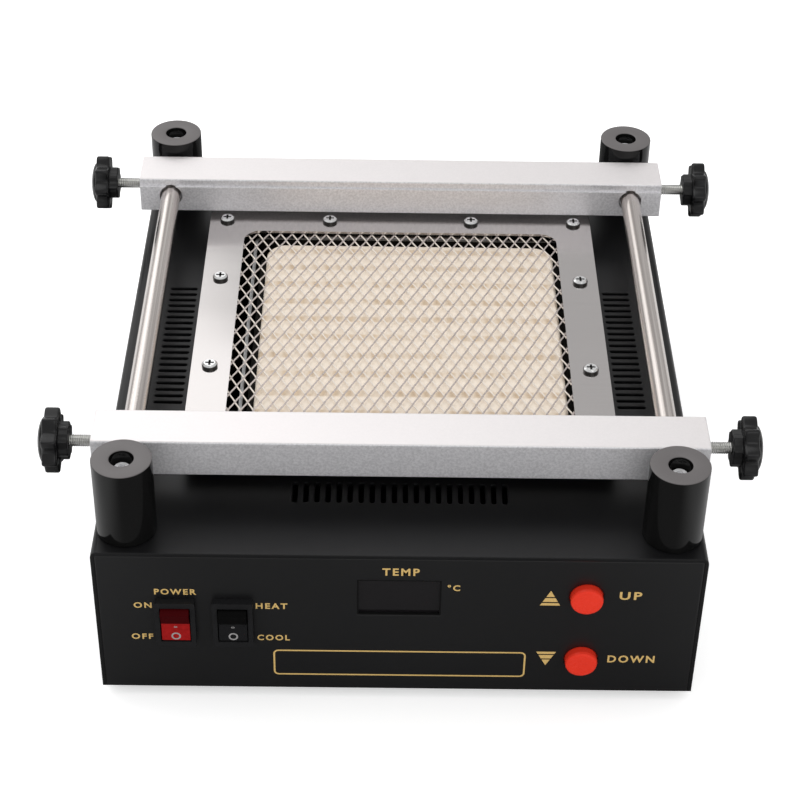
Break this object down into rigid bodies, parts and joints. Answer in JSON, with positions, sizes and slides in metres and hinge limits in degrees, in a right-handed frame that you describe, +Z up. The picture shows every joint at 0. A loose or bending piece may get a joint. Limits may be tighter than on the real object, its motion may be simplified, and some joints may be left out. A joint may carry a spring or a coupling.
{
  "type": "pcb preheater",
  "caption": "Benchtop circuit board preheater: black steel case with a ceramic heater under a mesh guard, and sliding clamp bars on guide rods that hold a board above it.",
  "frame": {"origin": "on the resting surface, under the middle of the case", "axes": "+X to the right as seen from the control panel, control panel toward -Y, +Z up"},
  "size_m": [0.2682, 0.2634, 0.1047],
  "materials": {
    "case_paint": "semi-gloss black paint",
    "black_plastic": "gloss black",
    "rubber_feet": "matte",
    "zinc_screws": "bright zinc",
    "rod_chrome": "ground and plated",
    "bar_alloy": "fine blasted",
    "stainless": "satin",
    "mesh_steel": "bright",
    "ceramic": "unglazed cream ceramic",
    "fibre": "pressed fibre",
    "brass": "plain",
    "fan_plastic": "matte",
    "board_green": "solder mask",
    "display_body": "matte",
    "display_pane": "smoked",
    "device_black": "moulded",
    "heatsink_alloy": "extruded",
    "core_steel": "laminated steel",
    "coil_copper": "enamelled wire",
    "switch_black": "fine satin",
    "rocker_red": "translucent red",
    "button_red": "smooth red"
  },
  "bodies": {
    "chassis": {"base_pan": "case_paint", "top_cover": "case_paint", "cover_screws": "zinc_screws", "foot_front_left": "rubber_feet", "foot_front_right": "rubber_feet", "foot_rear_left": "rubber_feet", "foot_rear_right": "rubber_feet", "foot_screws": "zinc_screws", "post_front_left": "black_plastic", "post_front_right": "black_plastic", "post_rear_left": "black_plastic", "post_rear_right": "black_plastic", "post_screws": "zinc_screws", "guide_rod_left": "rod_chrome", "guide_rod_right": "rod_chrome", "heater_collar": "stainless", "bezel_plate": "stainless", "guard_mesh": "mesh_steel", "bezel_screws": "zinc_screws", "ceramic_heater": "ceramic", "insulation_pad": "fibre", "heater_tray": "stainless", "tray_brackets": "stainless", "heater_terminals": "brass", "terminal_block": "ceramic", "thermocouple": "stainless", "fan_frame": "fan_plastic", "fan_screws": "zinc_screws", "control_board": "board_green", "board_standoffs": "brass", "board_screws": "zinc_screws", "display_module": "display_body", "display_window": "display_pane", "tact_switches": "device_black", "triac": "device_black", "heatsink": "heatsink_alloy", "transformer_core": "core_steel", "transformer_coil": "coil_copper", "transformer_screws": "zinc_screws", "power_switch_housing": "switch_black", "mode_switch_housing": "switch_black", "switch_terminals": "brass", "mains_inlet": "switch_black", "inlet_pins": "brass", "inlet_screws": "zinc_screws"},
    "front_bar": {"front_clamp_bar": "bar_alloy"},
    "rear_bar": {"rear_clamp_bar": "bar_alloy"},
    "front_left_screw": {"knob_front_left": "black_plastic", "stud_front_left": "zinc_screws"},
    "rear_left_screw": {"knob_rear_left": "black_plastic", "stud_rear_left": "zinc_screws"},
    "front_right_screw": {"knob_front_right": "black_plastic", "stud_front_right": "zinc_screws"},
    "rear_right_screw": {"knob_rear_right": "black_plastic", "stud_rear_right": "zinc_screws"},
    "power_rocker": {"power_rocker": "rocker_red"},
    "mode_rocker": {"mode_rocker": "switch_black"},
    "up_button": {"up_button": "button_red"},
    "down_button": {"down_button": "button_red"},
    "fan_rotor": {"fan_rotor": "fan_plastic"}
  },
  "joints": [
    {"name": "front_bar_slide", "type": "slide", "parent": "chassis", "child": "front_bar", "axis": [0, 1, 0], "range_m": [-0.003, 0.072]},
    {"name": "rear_bar_slide", "type": "slide", "parent": "chassis", "child": "rear_bar", "axis": [0, 1, 0], "range_m": [-0.074, 0.0012]},
    {"name": "front_left_knob_turn", "type": "hinge", "parent": "front_bar", "child": "front_left_screw", "pos_m": [-0.1212, -0.0882, 0.0926], "axis": [-1, 0, 0], "range_deg": [0, 360]},
    {"name": "rear_left_knob_turn", "type": "hinge", "parent": "rear_bar", "child": "rear_left_screw", "pos_m": [-0.1225, 0.0902, 0.0926], "axis": [-1, 0, 0], "range_deg": [0, 360]},
    {"name": "front_right_knob_turn", "type": "hinge", "parent": "front_bar", "child": "front_right_screw", "pos_m": [0.1212, -0.0882, 0.0926], "axis": [1, 0, 0], "range_deg": [0, 360]},
    {"name": "rear_right_knob_turn", "type": "hinge", "parent": "rear_bar", "child": "rear_right_screw", "pos_m": [0.1225, 0.0902, 0.0926], "axis": [1, 0, 0], "range_deg": [0, 360]},
    {"name": "power_rocker_tilt", "type": "hinge", "parent": "chassis", "child": "power_rocker", "pos_m": [-0.0819, -0.1269, 0.0393], "axis": [1, 0, 0], "range_deg": [-20, 0]},
    {"name": "mode_rocker_tilt", "type": "hinge", "parent": "chassis", "child": "mode_rocker", "pos_m": [-0.06085, -0.1269, 0.0393], "axis": [1, 0, 0], "range_deg": [-20, 0]},
    {"name": "up_button_press", "type": "slide", "parent": "chassis", "child": "up_button", "axis": [0, 1, 0], "range_m": [0, 0.0005], "stiffness_N_per_m": 800},
    {"name": "down_button_press", "type": "slide", "parent": "chassis", "child": "down_button", "axis": [0, 1, 0], "range_m": [0, 0.0005], "stiffness_N_per_m": 800},
    {"name": "fan_spin", "type": "hinge", "parent": "chassis", "child": "fan_rotor", "pos_m": [0.0041, 0.0066, 0.0187], "axis": [0, 0, 1], "continuous": true}
  ]
}
